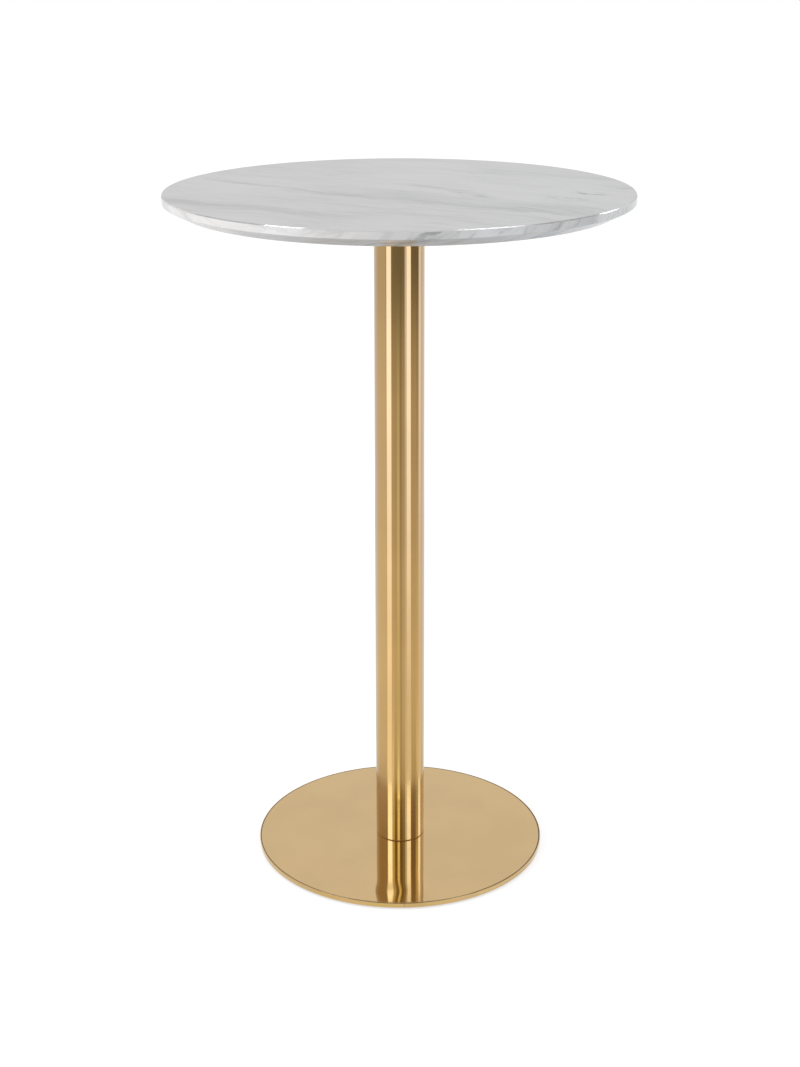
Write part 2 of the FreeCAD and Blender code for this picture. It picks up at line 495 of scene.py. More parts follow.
def makeMarble(look, grains, edges, veins, knots):
    material, tree = newMaterial("polished grey marble")
    along, across, up = axesOf(tree, placeOn(tree, turn=(0, 0, math.radians(look["flowTurn"]))))
    depth = up - look["level"]
    down = 0 - depth
    leaning = across + depth * look["lean"]
    flow = addNode(tree, "ShaderNodeCombineXYZ", None, along, leaning, depth)
    bent = leaning + (sway(tree, flow, *grains["wobble"]) + sway(tree, flow, *grains["ripple"]))
    swirl = leaning + sway(tree, flow, *grains["swirl"])
    broadWay = textureWay(tree, along, swirl, depth, grains["broadStretch"])
    fineWay = textureWay(tree, along, swirl, depth, grains["fineStretch"])
    fleckWay = textureWay(tree, along, bent, depth, grains["fleckStretch"])
    broad = patchy(tree, broadWay, *grains["broad"])
    fine = patchy(tree, fineWay, *grains["fine"])
    patches = patchy(tree, flow, *grains["patches"])
    clots = patchy(tree, broadWay, *grains["clots"]) * patches
    broken = grains["unbroken"] + patchy(tree, broadWay, *grains["broken"]) * grains["brokenShare"]
    flecks = patchy(tree, fleckWay, *grains["flecks"])
    fineShare = grains["fineShare"] + patches * grains["fineInPatches"]
    lines = clots * grains["clotShare"] + fine * fineShare + flecks * grains["fleckShare"]
    for vein in veins.values():
        lines = lines + makeVein(tree, along, bent, *vein) * broken
    crumbs = patchy(tree, fleckWay, *grains["crumbs"])
    for knot in knots.values():
        lines = lines + makeVein(tree, along, bent, *knot) * crumbs

    # the sawn edge and bevel show the streaks end on, most of all in the middle
    x, y = axesOf(tree, placeOn(tree))[:2]
    radius = fromMiddle(x, y)
    edge = ramp(tree, down, *edges["edgeDown"]) * ramp(tree, radius, *edges["edgeOut"])
    bevel = edge * ramp(tree, down, *edges["bevelDown"])
    endWay = textureWay(tree, along, bent + depth * look["endLean"], depth, grains["endStretch"])
    endNoise = noise(tree, endWay, *edges["endNoise"])
    ends = ramp(tree, endNoise, *edges["ends"])
    crowded = ramp(tree, endNoise, *edges["crowded"]) * inZone(tree, x, edges["crowdStart"], edges["crowdEnd"])
    more = ramp(tree, x, *edges["moreEnds"]) * edges["moreShare"]
    fewer = ramp(tree, x, *edges["fewerEnds"]) * edges["fewerShare"]
    strength = edges["endShare"] + more - fewer
    lines = lines + ends * edge * strength + crowded * edge * edges["crowdShare"]

    # stone colours, under the clouds and streaks
    tint = ramp(tree, x + sway(tree, flow, *grains["tintSway"]), *edges["tint"])
    leftSide = 1 - ramp(tree, x, *edges["leftEnd"])
    # painted light: the left part of the upright edge is painted lighter, and its clouds partly cleared
    light = (edge - bevel) * leftSide
    pale = blend(tree, tint, look["warmPale"], look["coolPale"])
    pale = blend(tree, edge * ramp(tree, x, *edges["coolStart"]), pale, look["edgeCool"])
    pale = blend(tree, light, pale, look["paintedEdgeLight"])
    # painted shade: the bevel on the left gets a warmer, slightly darker colour
    pale = blend(tree, bevel * leftSide, pale, look["paintedBevelShade"])
    clouds = broad * grains["broadCloud"] + patches * grains["patchCloud"]
    clouded = blend(tree, clouds * (1 - light * edges["cleared"]), pale, look["cloud"])
    warm = patchy(tree, flow, *grains["warm"]) * (1 - ramp(tree, x, *edges["warmEnd"]))
    streak = blend(tree, warm, look["coolStreak"], look["warmStreak"])
    streaked = blend(tree, lines, clouded, streak)

    # painted shade along the narrow chamfer round the face, darker still to the left and right
    arris = ramp(tree, radius, *edges["arrisOut"]) * (1 - ramp(tree, down, *edges["arrisDown"]))
    sideShade = inZone(tree, x.maths("ABSOLUTE", x), edges["sideShadeStart"], edges["sideShadeEnd"])
    sideShade = sideShade * (edges["sideShadeShare"] + broken * edges["sideShadeBroken"])
    paintedArrisShade = blend(tree, sideShade, look["paintedArrisShade"], look["paintedArrisShadeDark"])
    streaked = blend(tree, arris, streaked, paintedArrisShade)
    rough = addNode(tree, "ShaderNodeMapRange", None, noise(tree, flow, *grains["polish"]),
                    *grains["polishSpan"], look["roughFrom"], look["roughTo"])
    finishMaterial(tree, Base_Color=streaked, Roughness=rough, IOR=look["refraction"])
    return material


brassLook = {
    # colour, polish, grain (round and round, so reflections smear up and down); ripple in m, its scale each way
    "polished brass tube": ((0.600, 0.405, 0.190), 0.100, 1.0, 0.00006, (26, 26, 1.2)),
    "polished brass sheet": ((0.600, 0.430, 0.222), 0.045, 0.0, 0.00012, (14, 14, 14)),
}
brassGrain = {
    "shade": 0.95,  # how much darker the cloudier patches are
    "clouds": (9, 3, 0.55, 0.35, 0.65),
    "smears": (34, 5, 0.6, 0.5, 0.8),
    "smearRough": 0.02,
    "waves": (1.0, 2, 0.4),
    "grainTurn": 0.25,
}


def makeBrass(name, colour, polish, grain, ripple, rippleScale):
    material, tree = newMaterial(name)
    where = placeOn(tree)
    darker = tuple(c * brassGrain["shade"] for c in colour)
    tone = blend(tree, patchy(tree, where, *brassGrain["clouds"]), colour, darker)
    rough = polish + patchy(tree, where, *brassGrain["smears"]) * brassGrain["smearRough"]
    waves = noise(tree, placeOn(tree, scale=rippleScale), *brassGrain["waves"])
    finishMaterial(tree, Base_Color=tone, Metallic=1.0, Roughness=rough, Anisotropic=grain,
                   Anisotropic_Rotation=brassGrain["grainTurn"], Normal=bump(tree, waves, ripple))
    return material


coatLook = {
    # colour, polish, scale of the grain, its depth in m, metal
    "black powder coat": ((0.022, 0.022, 0.024), 0.42, 900, 0.00008, 0.0),
    "zinc plated steel": ((0.56, 0.57, 0.59), 0.34, 700, 0.00002, 1.0),
    "black rubber": ((0.018, 0.018, 0.018), 0.75, 1200, 0.00005, 0.0),
    "black nylon": ((0.035, 0.035, 0.037), 0.5, 1000, 0.00004, 0.0),
    "turned brass": ((0.62, 0.44, 0.17), 0.3, 800, 0.00002, 1.0),
}
coatGrain = {
    "clouds": (30, 4, 0.55, 0.3, 0.7),
    "darkest": 0.85,
    "lightest": 1.12,
    "speckDetail": 3,
    "speckSpan": (0.3, 0.7),
    "smoother": 0.06,
    "rougher": 0.08,
    "bump": 0.6,
}


def makeCoat(name, colour, polish, grain, depth, metal):
    # paint, rubber, nylon or plating: a cloudy colour with a fine grain
    material, tree = newMaterial(name)
    where = placeOn(tree)
    dark = tuple(c * coatGrain["darkest"] for c in colour)
    light = tuple(c * coatGrain["lightest"] for c in colour)
    tone = blend(tree, patchy(tree, where, *coatGrain["clouds"]), dark, light)
    speck = noise(tree, where, grain, coatGrain["speckDetail"])
    rough = addNode(tree, "ShaderNodeMapRange", None, speck, *coatGrain["speckSpan"],
                    polish - coatGrain["smoother"], polish + coatGrain["rougher"])
    finishMaterial(tree, Base_Color=tone, Roughness=rough, Metallic=metal,
                   Normal=bump(tree, speck, depth, coatGrain["bump"]))
    return material


marble = makeMarble(marbleLook, marbleGrain, marbleEdge, marbleVeins, marbleKnots)
tubeBrass, sheetBrass = (makeBrass(name, *look) for name, look in brassLook.items())
blackCoat, zinc, rubber, nylon, sleeveBrass = (makeCoat(name, *look) for name, look in coatLook.items())
print("materials made")


# pieces

def ringOutline(inner, outer, low, high):
    return [(inner, low), (outer, low), (outer, high), (inner, high)]


# edges that are rounded are written as (radius, parts)
slabShape = {
    "radius": 0.350,
    "chamfer": 1.4 * mm,
    "chamferEdge": (0.3 * mm, 3),
    "lowerArris": (0.8 * mm, 3),
    "edgeHeight": 12.0 * mm,
    "bevelWidth": 25.0 * mm,
    "beside": 0.4 * mm,
    "steps": 256,
}


def makeSlab(shape):
    low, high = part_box("marble_top")
    radius = shape["radius"]
    chamfer = shape["chamfer"]
    outline = softened(
        [(0, low.z), (radius - shape["bevelWidth"], low.z), (radius, high.z - shape["edgeHeight"]),
         (radius, high.z - chamfer), (radius - chamfer, high.z), (0, high.z)],
        {1: shape["lowerArris"], 2: shape["lowerArris"], 3: shape["chamferEdge"], 4: shape["chamferEdge"]},
        shape["beside"],
    )
    slab = spinPiece("marbleSlab", outline, shape["steps"])
    fitted(slab, "table", "marble", marble, "marble_top")


tubeShape = {"radius": 0.038, "endEdge": (1.2 * mm, 3), "wall": 1.5 * mm, "steps": 160}


def makeTube(shape):
    low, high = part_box("column_tube")
    radius = shape["radius"]
    outline = softened(ringOutline(radius - shape["wall"], radius, low.z, high.z),
                       {1: shape["endEdge"], 2: shape["endEdge"]})
    tube = spinPiece("columnTube", outline, shape["steps"])
    fitted(tube, "table", "polished_brass", tubeBrass, "column_tube")


stripShape = {
    "radius": 0.225,
    "thick": 1.0 * mm,
    "edge": (0.35 * mm, 4),
    "beside": 0.15 * mm,
    "seamGap": 0.4 * mm,
    "seamAngle": -88.3,  # degrees
    "bladeLong": 8 * mm,
    "bladeTall": 20 * mm,
    "steps": 288,
}


def makeStrip(shape):
    low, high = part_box("rim_band")
    radius = shape["radius"]
    outline = softened(ringOutline(radius - shape["thick"], radius, low.z, high.z),
                       {1: shape["edge"], 2: shape["edge"]}, shape["beside"])
    strip = spinPiece("rimStrip", outline, shape["steps"])
    freshStart()
    bpy.ops.mesh.primitive_cube_add(size=1, location=(0, 0, 0))
    blade = nameIt("seamBlade")
    enter("EDIT")
    bpy.ops.transform.resize(value=(shape["bladeLong"], shape["seamGap"], shape["bladeTall"]))
    bpy.ops.transform.translate(value=(radius, 0, low.z))
    bpy.ops.transform.rotate(value=-math.radians(shape["seamAngle"]), orient_axis="Z",
                             center_override=(0, 0, 0))
    enter("OBJECT")
    shaped(strip, blade, "DIFFERENCE")
    fitted(strip, "table", "polished_brass", sheetBrass, "rim_band")


sheetShape = {
    "inner": 0.03645,
    "edge": (0.6 * mm, 5),
    "rimGap": 1.15 * mm,  # dark groove between the sheet and the rim strip
    "offCentre": (-0.00022, 0.00045),  # m, so the groove is widest in front and to the right
    # m, rings of points from the rim inwards, every 7 mm where the dent may reach
    "rings": (*(round(0.217 - 0.007 * k, 3) for k in range(12)), 0.12),
    "dentAt": (-0.0145, -0.187),
    "dentReach": 30 * mm,
    "dentDepth": 0.34 * mm,
    "steps": 224,
}


def makeSheet(shape):
    low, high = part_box("base_cover")
    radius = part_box("rim_band")[1].x - stripShape["thick"] - shape["rimGap"]
    edge = shape["edge"][0]
    outline = softened(ringOutline(shape["inner"], radius, low.z, high.z), {2: shape["edge"]})
    for reach in shape["rings"]:
        outline.insert(-1, (reach, high.z))
    sheet = spinPiece("baseSheet", outline, shape["steps"])
    # a shallow dent pulls the reflections about near the front rim
    pick(sheet, lambda co: co.z < high.z - edge / 2)
    bpy.ops.mesh.hide()
    enter("OBJECT")
    spot = Vector((*shape["dentAt"], high.z))
    nearest = min((vert.co - spot).length for vert in sheet.data.vertices)
    pick(sheet, lambda co: (co - spot).length < nearest + weldReach)
    bpy.ops.transform.translate(value=(0, 0, -shape["dentDepth"]), use_proportional_edit=True,
                                proportional_edit_falloff="SMOOTH", proportional_size=shape["dentReach"])
    bpy.ops.mesh.reveal()
    enter("OBJECT")
    pick(sheet, lambda co: co.xy.length > shape["rings"][0] + edge)
    bpy.ops.transform.translate(value=(*shape["offCentre"], 0))
    enter("OBJECT")
    fitted(sheet, "table", "polished_brass", sheetBrass, "base_cover")


makeSlab(slabShape)
makeTube(tubeShape)
makeSheet(sheetShape)
makeStrip(stripShape)
print("stone and brass pieces made")

corners = {"rear_right": 45, "rear_left": 135, "front_left": 225, "front_right": 315}  # degrees
plateShape = {
    "edge": (0.8 * mm, 4),
    "radius": 160 * mm,
    "bore": 6.5 * mm,
    "boltHole": 3.5 * mm,
    "drillLong": 20 * mm,
    "drillSides": 32,
    "steps": 160,
}
boltShape = {
    "circle": 135 * mm,
    "flats": 9.0 * mm,
    "headHeight": 4.02 * mm,
    "headChamfer": 0.7 * mm,
    "headTip": 0.46,  # of the flats, radius where the chamfer begins
    "cornerRoom": 0.2 * mm,
    "overlap": 0.3 * mm,
    "thread": 3.0 * mm,
    "root": 2.45 * mm,
    "pitch": 1.0 * mm,
    "steps": 48,
}


def makePlate(shape, bolts):
    low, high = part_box("mounting_plate")
    outline = softened(ringOutline(shape["bore"], shape["radius"], low.z, high.z),
                       {1: shape["edge"], 2: shape["edge"]})
    plate = spinPiece("mountingDisc", outline, shape["steps"])
    for angle in corners.values():
        freshStart()
        bpy.ops.mesh.primitive_cylinder_add(vertices=shape["drillSides"], radius=shape["boltHole"],
                                            depth=shape["drillLong"],
                                            location=(*onCircle(bolts["circle"], angle), low.z))
        shaped(plate, nameIt("drill"), "DIFFERENCE")
    fitted(plate, "table", "black_steel", blackCoat, "mounting_plate")


def makeBolts(shape):
    low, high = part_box("plate_bolts")
    seat = low.z + shape["headHeight"]
    corner = shape["flats"] / math.sqrt(3) + shape["cornerRoom"]
    outline = [(0, low.z), (shape["flats"] * shape["headTip"], low.z), (corner, low.z + shape["headChamfer"]),
               (corner, seat), (0, seat)]
    bolt = spinPiece("plateBolt", outline, shape["steps"])
    shaped(bolt, hexPrism("spanner", shape["flats"], low.z - beyond, seat + beyond), "INTERSECT")
    shank = makeThread("boltThread", shape["thread"], shape["root"], shape["pitch"],
                       seat - shape["overlap"], high.z)
    shaped(bolt, shank, "UNION")
    for place, angle in corners.items():
        piece = copied(bolt, "plateBolt_" + place, onCircle(shape["circle"], angle))
        fitted(piece, "table", "zinc_steel", zinc, "plate_bolts")
    bpy.data.objects.remove(bolt)


feet = sorted(corners)
footCircle = 195 * mm
glideShape = {
    # mm out and up
    "outline": ((3.5, 0), (15, 0), (15, 3), (7.4, 3), (7.4, 2.44), (8.3, 2.44), (8.3, 0.99), (3.5, 0.99)),
    "soleEdge": (0.9 * mm, 5),
    "upperEdge": (0.4 * mm, 3),
    "beside": 0.2 * mm,
    "steps": 72,
}
studShape = {
    "flange": 8.0 * mm,
    "flangeTop": 2.34 * mm,
    "flangeEdge": (0.25 * mm, 3),
    "beside": 0.15 * mm,
    "overlap": 0.3 * mm,
    "thread": 4.0 * mm,
    "root": 3.35 * mm,
    "pitch": 1.25 * mm,
    "key": 4.0 * mm,
    "keyDepth": 2.8 * mm,
    "steps": 48,
}


def makeGlides(shape):
    outline = softened([(x * mm, z * mm) for x, z in shape["outline"]],
                       {0: shape["upperEdge"], 1: shape["soleEdge"], 2: shape["upperEdge"]}, shape["beside"])
    glide = spinPiece("glide", outline, shape["steps"])
    for foot in feet:
        piece = copied(glide, "glide_" + foot, onCircle(footCircle, corners[foot]))
        fitted(piece, "foot_pad_" + foot, "nylon", nylon, "foot_pad_" + foot)
    bpy.data.objects.remove(glide)


def makeStuds(shape):
    low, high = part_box("foot_stud_front_left")
    outline = softened(ringOutline(0, shape["flange"], low.z, shape["flangeTop"]),
                       {1: shape["flangeEdge"], 2: shape["flangeEdge"]}, shape["beside"])
    stud = spinPiece("footStud", outline, shape["steps"])
    shank = makeThread("studThread", shape["thread"], shape["root"], shape["pitch"],
                       shape["flangeTop"] - shape["overlap"], high.z)
    shaped(stud, shank, "UNION")
    key = hexPrism("key", shape["key"], low.z - beyond, low.z + shape["keyDepth"])
    shaped(stud, key, "DIFFERENCE")
    for foot in feet:
        piece = copied(stud, "footStud_" + foot, onCircle(footCircle, corners[foot]))
        fitted(piece, "foot_stud_" + foot, "zinc_steel", zinc, "foot_stud_" + foot)
    bpy.data.objects.remove(stud)


makePlate(plateShape, boltShape)
makeBolts(boltShape)
makeGlides(glideShape)
makeStuds(studShape)
print("plate, bolts and feet made")


# carried-over nodes

nodeFinish = {
    "centring_cup": blackCoat,
    "base_plate": blackCoat,
    "base_hub": zinc,
    "hub_screws": zinc,
    "tie_rod": zinc,
    "tie_rod_nut": zinc,
    "tie_rod_jam_nut": zinc,
    "tie_rod_washer": zinc,
    "tie_rod_lock_washer": zinc,
    "plate_washers": zinc,
    "plate_pads": rubber,
    "stone_inserts": sleeveBrass,
}
for node, material in nodeFinish.items():
    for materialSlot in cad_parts[node].material_slots:
        materialSlot.material = material
print("carried-over nodes finished")


# stage, light and camera

stageSet = {
    "floorAlbedo": 0.50,
    "nearLift": 0.66,  # added for rays that should see plain white
    "farLift": 0.78,
    "liftSpan": (0.7, 3.6),  # m from the middle
    "worldLevel": 0.54,  # light on the object from all round
    "floorSize": 30,
}
white = (1, 1, 1, 1)


def seesBackground(tree):
    camera, glossy, through = (addNode(tree, "ShaderNodeLightPath", output=key) for key in
                               ("Is Camera Ray", "Is Glossy Ray", "Is Transmission Ray"))
    return addNode(tree, "ShaderNodeMath", {"operation": "ADD", "use_clamp": True}, camera + glossy, through)


def isBackface(tree):
    return addNode(tree, "ShaderNodeNewGeometry", output="Backfacing")


def dressed(tree, shader, thing, material):
    # the shader goes to the material's output, and the material on the thing
    addNode(tree, "ShaderNodeOutputMaterial", None, shader)
    thing.data.materials.append(material)


def makeFloor(look):
    freshStart()
    bpy.ops.mesh.primitive_plane_add(size=look["floorSize"], location=(0, 0, 0))
    floor = nameIt("floor")
    material, tree = newMaterial("white floor")
    tone = look["floorAlbedo"]
    paper = addNode(tree, "ShaderNodeBsdfDiffuse", None, (tone, tone, tone, 1), 0.0)
    x, y = axesOf(tree, placeOn(tree))[:2]
    away = ramp(tree, fromMiddle(x, y), *look["liftSpan"])
    lift = look["nearLift"] + away * (look["farLift"] - look["nearLift"])
    glow = addNode(tree, "ShaderNodeEmission", None, white, seesBackground(tree) * lift)
    both = addNode(tree, "ShaderNodeAddShader", None, paper, glow)
    # seen from below the floor is clear, so the underside of the table can be looked at
    clear = addNode(tree, "ShaderNodeBsdfTransparent")
    sided = addNode(tree, "ShaderNodeMixShader", None, isBackface(tree), both, clear)
    dressed(tree, sided, floor, material)


def makeWorld(look):
    world = bpy.data.worlds.new("white studio")
    bpy.context.scene.world = world
    world.use_nodes = True
    tree = world.node_tree
    tree.nodes.clear()
    level = look["worldLevel"] + seesBackground(tree) * (1 - look["worldLevel"])
    sky = addNode(tree, "ShaderNodeBackground", None, white, level)
    addNode(tree, "ShaderNodeOutputWorld", None, sky)


def facing(azimuth, distance, height):
    turn = math.radians(azimuth)
    return Vector((distance * math.sin(turn), -distance * math.cos(turn), height))


def makeLamp(name, wide, tall, bright):
    # area lamp of so much light for each square metre, that the camera doesn't see
    lamp = bpy.data.lights.new(name, "AREA")
    lamp.shape = "RECTANGLE"
    lamp.size = wide
    lamp.size_y = tall
    lamp.energy = bright * math.pi * wide * tall
    box = bpy.data.objects.new(name, lamp)
    bpy.context.scene.collection.objects.link(box)
    box.visible_camera = False
    return box


softboxes = {
    # azimuth from the front, width, distance, foot and head height, brightness
    "leftBox": (-62, 1.2, 2.2, 0.3, 2.0, 3.8),
    "rightBox": (48, 0.9, 2.2, 0.3, 2.0, 2.6),
}


def makeSoftbox(name, azimuth, wide, distance, foot, head, bright):
    box = makeLamp(name, wide, head - foot, bright)
    box.location = facing(azimuth, distance, (foot + head) / 2)
    box.rotation_euler = (math.radians(90), 0, math.radians(azimuth))
    box.visible_glossy = False


topBox = {"size": 2.4, "height": 2.9, "bright": 1.08}


def makeTopBox(look):
    box = makeLamp("topBox", look["size"], look["size"], look["bright"])
    box.location = (0, 0, look["height"])
    box.visible_glossy = False


def onlyReflected(thing):
    # only polished faces see it
    thing.visible_camera = False
    thing.visible_diffuse = False
    thing.visible_shadow = False
    thing.visible_transmission = False


paperShape = {"inner": 0.232, "lift": 0.3 * mm, "reach": 1.9, "head": 2.5, "steps": 128}
plainTint = (1.0, 0.99, 0.97)
paperTints = {
    # colour of the light at places out along the floor and up the paper; the stone's edge sees 2.6 to 2.72
    "room": ((0.244, (1.0, 0.95, 0.76)), (0.27, (1.0, 0.92, 0.55)), (0.40, (1.0, 0.93, 0.72)),
             (1.9, (1.0, 0.91, 0.78)), (2.64, (1.0, 0.90, 0.60)), (2.80, plainTint)),
    "shade": ((0.55, (1.0, 0.93, 0.72)), (1.9, (1.0, 0.91, 0.78)), (2.64, (1.0, 0.90, 0.60)),
              (2.80, plainTint)),
    "side": ((0.55, (1.0, 0.95, 0.82)), (1.9, (1.0, 0.98, 0.91)), (2.72, (1.0, 0.98, 0.95)),
             (2.80, plainTint)),
    "far": ((0.55, (0.97, 1.0, 1.0)), (1.9, (0.97, 1.02, 1.22)), (2.5, (0.97, 1.02, 1.22)),
            (2.6, plainTint)),
    "white": ((0.55, (1.0, 0.98, 0.95)),),
    "lamp": ((0.55, (1.02, 1.0, 0.92)), (1.9, (0.92, 1.0, 1.26)), (2.5, (0.88, 1.0, 1.40)),
             (2.6, (1.0, 1.0, 1.0)), (2.80, plainTint)),
    "olive": ((0.55, (1.0, 0.98, 0.66)), (1.9, (1.0, 1.0, 0.80)), (2.64, (1.0, 1.0, 0.80)),
              (2.80, plainTint)),
}
paperBehind = ((0.235, 1.25), (0.40, 0.55), (1.60, 0.55), (1.95, 0.95), (2.50, 0.90), (2.70, 1.0))
paperTones = {
    # azimuth at start and end, softness, tint; then (metres out along the floor and up the paper, brightness)
    "cameraSide": (-180, 180, 1, "room", (
        (0.244, 1.05), (0.262, 0.66), (0.34, 0.74), (0.60, 0.90), (1.10, 0.81), (1.80, 0.69), (2.08, 0.67),
        (2.27, 0.55), (2.47, 0.17), (2.64, 0.15), (2.76, 0.85), (3.00, 0.80))),
    "leftSide": (-220, -64, 3, "side", (
        (0.244, 1.05), (0.262, 0.78), (0.34, 0.92), (0.60, 1.00), (1.10, 1.00), (1.80, 0.93), (2.27, 0.87),
        (2.50, 0.70), (2.72, 0.80))),
    "farLeft": (-220, -122, 14, "far", (
        (0.244, 1.05), (0.262, 0.80), (0.34, 0.92), (0.60, 1.00), (1.80, 0.93), (2.49, 0.86), (2.66, 0.92))),
    "rightSide": (117, 220, 2, "far", (
        (0.244, 1.05), (0.262, 0.80), (0.34, 0.92), (0.60, 1.00), (1.80, 0.96), (2.49, 0.93), (2.66, 0.95),
        (2.80, 1.15))),
    "behindLeft": (-220, -158, 5, "white", paperBehind),
    "behindRight": (158, 220, 5, "white", paperBehind),
    "leftGlow": (-61, -37, 3, "lamp", (
        (0.244, 1.00), (0.262, 1.40), (0.60, 1.45), (1.10, 1.62), (1.80, 1.75), (2.27, 2.20), (2.49, 1.95),
        (2.66, 2.10), (2.74, 2.20), (2.90, 0.80))),
    "leftHaze": (-37, -26, 2, "shade", (
        (0.244, 1.00), (0.262, 1.22), (0.34, 1.15), (0.60, 0.95), (1.10, 0.88), (1.80, 0.72), (2.08, 0.74),
        (2.27, 0.53), (2.47, 0.19), (2.64, 0.26), (2.80, 0.80))),
    "rightHaze": (24, 33, 2, "lamp", (
        (0.25, 1.00), (1.80, 0.96), (2.08, 1.00), (2.39, 1.20), (2.50, 1.02), (2.66, 1.00), (2.80, 0.80))),
    "rightGlow": (33, 53, 1.5, "lamp", (
        (0.25, 1.08), (0.60, 1.13), (1.10, 1.45), (1.80, 1.70), (2.27, 1.95), (2.50, 1.98), (2.66, 2.00),
        (2.74, 2.10), (2.90, 0.80))),
    "farHaze": (82, 98, 3, "shade", (
        (0.25, 1.00), (0.34, 1.08), (0.60, 0.95), (1.10, 0.86), (1.80, 0.72), (2.08, 0.58), (2.27, 0.48),
        (2.47, 0.18), (2.62, 0.18), (2.76, 0.85), (3.00, 0.80))),
    "backGlow": (98, 116, 1.5, "lamp", (
        (0.25, 1.08), (1.10, 1.08), (1.80, 1.20), (2.27, 1.38), (2.49, 1.28), (2.66, 1.40), (2.74, 1.50),
        (2.90, 0.80))),
    "doorway": (-12, -1.5, 2, "olive", (
        (0.244, 1.00), (0.266, 1.55), (0.30, 1.32), (0.34, 1.02), (0.60, 0.88), (1.10, 1.00), (1.80, 0.93),
        (2.08, 0.80), (2.27, 0.58), (2.39, 0.24), (2.48, 0.12), (2.64, 0.15), (2.76, 0.85), (3.00, 0.80))),
    "tripod": (1.5, 10, 2, "room", (
        (0.244, 1.00), (0.262, 0.55), (0.34, 0.62), (0.60, 0.68), (1.10, 0.62), (1.80, 0.52), (2.27, 0.40),
        (2.47, 0.16), (2.64, 0.16), (2.76, 0.85), (3.00, 0.80))),
}
canopyShape = {
    "height": 0.75,
    "inner": 1.08,
    "outer": 1.72,
    "ends": ((-136, -108), (115, 119)),  # azimuths over which it begins and ends
    "bounces": 1.5,  # it shows only after more reflections than this
    "span": 2.0,  # m, of its colour ramps
    "steps": 128,
}
canopyTones = {
    # azimuth at start and end, softness; then (metres from the column, colour of the light)
    "cameraSide": (-180, 180, 1, (
        (1.10, (0.34, 0.29, 0.04)), (1.41, (0.38, 0.32, 0.05)), (1.49, (0.64, 0.57, 0.12)),
        (1.555, (0.74, 0.69, 0.19)), (1.604, (0.89, 0.94, 0.52)), (1.645, (0.97, 1.09, 0.73)),
        (1.694, (1.16, 1.39, 1.10)))),
    "rightRoom": (13, 82, 3, (
        (1.10, (0.42, 0.37, 0.25)), (1.41, (0.44, 0.39, 0.26)), (1.49, (0.54, 0.50, 0.51)),
        (1.604, (0.70, 0.70, 0.91)), (1.653, (0.86, 0.95, 1.25)), (1.694, (0.97, 1.16, 1.55)))),
    "leftSide": (-220, -64, 3, (
        (1.10, (0.66, 0.63, 0.51)), (1.295, (0.66, 0.63, 0.53)), (1.41, (0.74, 0.70, 0.61)),
        (1.49, (0.80, 0.77, 0.90)), (1.555, (0.85, 0.87, 1.06)), (1.604, (0.88, 1.01, 1.36)),
        (1.645, (1.05, 1.28, 1.94)), (1.694, (1.26, 1.64, 2.65)))),
    "leftGlow": (-61, -37, 3, (
        (1.10, (3.44, 4.82, 7.95)), (1.62, (3.76, 5.40, 9.40)), (1.694, (2.80, 4.06, 7.17)))),
    "leftHaze": (-37, -26, 2, (
        (1.10, (1.40, 1.47, 1.12)), (1.393, (1.40, 1.58, 1.34)), (1.49, (1.32, 1.55, 1.34)),
        (1.604, (1.90, 2.48, 3.05)), (1.694, (2.20, 3.04, 4.30)))),
    "nearRight": (12, 21, 2, (
        (1.10, (0.52, 0.47, 0.33)), (1.41, (0.56, 0.55, 0.44)), (1.49, (0.78, 0.88, 0.90)),
        (1.604, (0.96, 1.20, 1.32)), (1.694, (0.97, 1.16, 1.50)))),
    "rightHaze": (24, 33, 2, (
        (1.10, (1.20, 1.68, 2.77)), (1.327, (1.20, 1.70, 2.90)), (1.458, (1.76, 2.52, 4.40)),
        (1.653, (1.92, 2.78, 4.88)))),
    "rightGlow": (33, 53, 1.5, (
        (1.10, (2.88, 4.03, 6.66)), (1.327, (2.88, 4.08, 6.90)), (1.62, (3.36, 4.84, 8.45)),
        (1.694, (2.64, 3.83, 6.77)))),
    "farHaze": (82, 98, 3, (
        (1.10, (1.40, 1.47, 1.12)), (1.327, (1.40, 1.55, 1.29)), (1.393, (1.15, 1.30, 1.11)),
        (1.49, (0.85, 0.98, 0.85)), (1.555, (0.98, 1.22, 1.34)), (1.604, (1.12, 1.46, 1.86)),
        (1.694, (1.46, 2.03, 2.92)))),
    "backGlow": (98, 116, 1.5, (
        (1.10, (2.56, 3.58, 5.92)), (1.62, (2.88, 4.14, 7.20)), (1.694, (2.32, 3.36, 5.95)))),
    "doorway": (-12, -1.5, 2, (
        (1.10, (2.04, 2.37, 1.94)), (1.393, (2.04, 2.37, 1.94)), (1.49, (2.60, 3.17, 2.86)),
        (1.555, (2.90, 3.65, 3.48)), (1.62, (3.20, 4.14, 4.16)), (1.685, (2.90, 3.77, 3.92)))),
    "tripod": (1.5, 10, 2, (
        (1.10, (0.24, 0.20, 0.03)), (1.214, (0.24, 0.20, 0.03)), (1.49, (0.38, 0.34, 0.07)),
        (1.555, (0.48, 0.45, 0.12)), (1.604, (0.70, 0.74, 0.41)), (1.694, (0.92, 1.10, 0.87)))),
}


def tintAt(place, tints):
    # tint at a place on the paper, between the listed ones
    if place <= tints[0][0]:
        return tints[0][1]
    for (before, first), (after, second) in zip(tints, tints[1:]):
        if place <= after:
            share = (place - before) / (after - before)
            return tuple(a + (b - a) * share for a, b in zip(first, second))
    return tints[-1][1]


